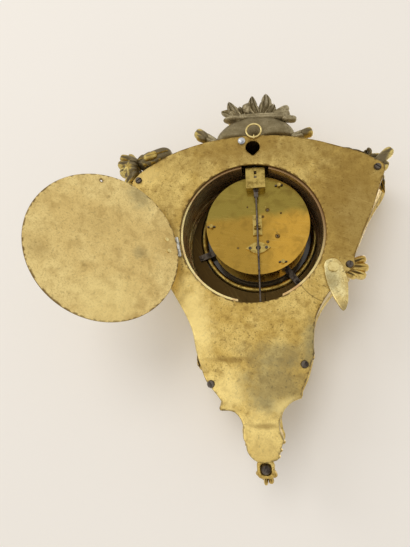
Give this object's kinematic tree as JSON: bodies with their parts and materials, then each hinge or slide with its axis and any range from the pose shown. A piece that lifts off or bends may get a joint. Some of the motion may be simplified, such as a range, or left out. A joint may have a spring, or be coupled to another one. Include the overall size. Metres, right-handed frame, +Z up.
{
  "type": "alcove clock",
  "caption": "Gilt wall clock with a wedge-shaped cast case, round hinged rear door, turn latch, spring-driven movement, short pendulum, dial and hinged glazed bezel.",
  "frame": {"origin": "centre of the round part of the hanging hole, on the outer face of the back plate", "axes": "+Z up, +Y out of the clock's back towards the wall, +X to the left of a viewer who looks at the back, where the rear door has its hinge"},
  "size_m": [0.2501, 0.1337, 0.294],
  "materials": {
    "gilding": "worn gilding",
    "bronze": "dull bronze, rubbed gold",
    "brass": "polished, aged",
    "steel": "dark, oiled",
    "blued_steel": "blued",
    "drum_brass": "oxidised",
    "enamel": "glossy",
    "copper": "dull",
    "glass": "clear"
  },
  "bodies": {
    "case": {"case_body": "gilding", "back_plate": "gilding", "hinge_side_scroll": "gilding", "latch_side_scroll": "gilding", "latch_side_leaf": "gilding", "hinge_side_leaf": "gilding", "side_husks": "gilding", "apron_ornament": "gilding", "dial_ring": "gilding", "crest": "bronze", "bottom_finial": "bronze", "ring_staple": "brass", "plate_hinge_leaf": "brass", "plate_rivets": "brass", "latch_rivet": "brass", "movement_back_plate": "brass", "movement_front_plate": "brass", "pillars": "brass", "suspension_block": "brass", "barrel_cock": "brass", "centre_bridge": "brass", "case_screws": "steel", "top_pin": "steel", "hinge_pin": "steel", "bezel_hinge_pin": "steel", "taper_pins": "steel", "movement_brackets": "steel", "movement_screws": "steel", "suspension_spring": "steel", "click_spring": "steel", "drum": "drum_brass", "dial": "enamel", "dial_feet": "copper"},
    "door": {"rear_door": "gilding", "door_hinge_leaf": "brass", "door_rivets": "brass"},
    "latch": {"turn_latch": "gilding"},
    "ring": {"hanging_ring": "brass"},
    "front_bezel": {"bezel": "gilding", "glass": "glass"},
    "centre_arbor": {"centre_wheel": "brass", "hand_collet": "brass"},
    "intermediate": {"intermediate_wheel": "brass"},
    "going_barrel": {"barrel": "brass", "mainspring": "steel"},
    "third": {"third_wheel": "brass"},
    "escape": {"escape_wheel": "brass"},
    "minute": {"cannon_pinion": "steel", "minute_hand": "blued_steel"},
    "motion_wheel": {"minute_wheel": "brass"},
    "hour": {"hour_wheel": "brass", "hour_hand": "blued_steel"},
    "winding": {"barrel_arbor": "steel", "ratchet_wheel": "steel"},
    "click_pawl": {"click": "steel"},
    "pendulum": {"pendulum_rod": "steel", "pendulum_bob": "brass"},
    "pallets": {"anchor": "steel", "crutch": "brass"},
    "regulator": {"regulating_screw": "steel"}
  },
  "joints": [
    {"name": "door_swing", "type": "hinge", "parent": "case", "child": "door", "pos_m": [0.05876, 0.0016, -0.07924], "axis": [-0.1822, 0, -0.9833], "range_deg": [-140, 30]},
    {"name": "latch_turn", "type": "hinge", "parent": "case", "child": "latch", "pos_m": [-0.053, 0.00125, -0.1], "axis": [0, 1, 0], "range_deg": [-130, 28]},
    {"name": "ring_swing", "type": "hinge", "parent": "case", "child": "ring", "pos_m": [-0.0013, 0.0014, 0.0077], "axis": [-1, 0, 0], "range_deg": [-8, 175]},
    {"name": "bezel_swing", "type": "hinge", "parent": "case", "child": "front_bezel", "pos_m": [0.0606, -0.0505, -0.06], "axis": [0, 0, 1], "range_deg": [0, 100]},
    {"name": "centre_turn", "type": "hinge", "parent": "case", "child": "centre_arbor", "pos_m": [-0.001, -0.035, -0.06], "axis": [0, 1, 0], "continuous": true},
    {"name": "intermediate_turn", "type": "hinge", "parent": "case", "child": "intermediate", "pos_m": [-0.0156, -0.0325, -0.0674], "axis": [0, 1, 0], "continuous": true},
    {"name": "barrel_turn", "type": "hinge", "parent": "case", "child": "going_barrel", "pos_m": [-0.001, -0.022, -0.0795], "axis": [0, 1, 0], "continuous": true},
    {"name": "third_turn", "type": "hinge", "parent": "case", "child": "third", "pos_m": [0.003, -0.02, -0.0485], "axis": [0, 1, 0], "continuous": true},
    {"name": "escape_turn", "type": "hinge", "parent": "case", "child": "escape", "pos_m": [-0.0078, -0.0165, -0.0459], "axis": [0, 1, 0], "continuous": true},
    {"name": "minute_turn", "type": "hinge", "parent": "case", "child": "minute", "pos_m": [-0.001, -0.0534, -0.06], "axis": [0, 1, 0], "continuous": true},
    {"name": "motion_wheel_turn", "type": "hinge", "parent": "case", "child": "motion_wheel", "pos_m": [-0.0058, -0.043, -0.05169], "axis": [0, 1, 0], "continuous": true},
    {"name": "hour_turn", "type": "hinge", "parent": "case", "child": "hour", "pos_m": [-0.001, -0.0517, -0.06], "axis": [0, 1, 0], "continuous": true},
    {"name": "winding_turn", "type": "hinge", "parent": "case", "child": "winding", "pos_m": [-0.001, -0.043, -0.0795], "axis": [0, 1, 0], "continuous": true},
    {"name": "click_lift", "type": "hinge", "parent": "case", "child": "click_pawl", "pos_m": [0.0096, -0.043, -0.0746], "axis": [0, 1, 0], "range_deg": [-3, 3]},
    {"name": "pendulum_swing", "type": "hinge", "parent": "case", "child": "pendulum", "pos_m": [-0.001, -0.0065, -0.035], "axis": [0, 1, 0], "range_deg": [-3, 3]},
    {"name": "pallet_swing", "type": "hinge", "parent": "case", "child": "pallets", "pos_m": [-0.001, -0.0165, -0.035], "axis": [0, 1, 0], "range_deg": [-3, 3]},
    {"name": "regulator_turn", "type": "hinge", "parent": "case", "child": "regulator", "pos_m": [-0.001, -0.0065, -0.016], "axis": [0, 0, 1], "range_deg": [-360, 360]}
  ],
  "couplings": [
    {"joint": "intermediate_turn", "follows": "centre_turn", "ratio": -0.11111},
    {"joint": "barrel_turn", "follows": "centre_turn", "ratio": 0.010582},
    {"joint": "third_turn", "follows": "centre_turn", "ratio": -12},
    {"joint": "escape_turn", "follows": "centre_turn", "ratio": 144},
    {"joint": "minute_turn", "follows": "centre_turn", "ratio": 1},
    {"joint": "motion_wheel_turn", "follows": "centre_turn", "ratio": -0.33333},
    {"joint": "hour_turn", "follows": "centre_turn", "ratio": 0.083333},
    {"joint": "pallet_swing", "follows": "pendulum_swing", "ratio": 1}
  ]
}
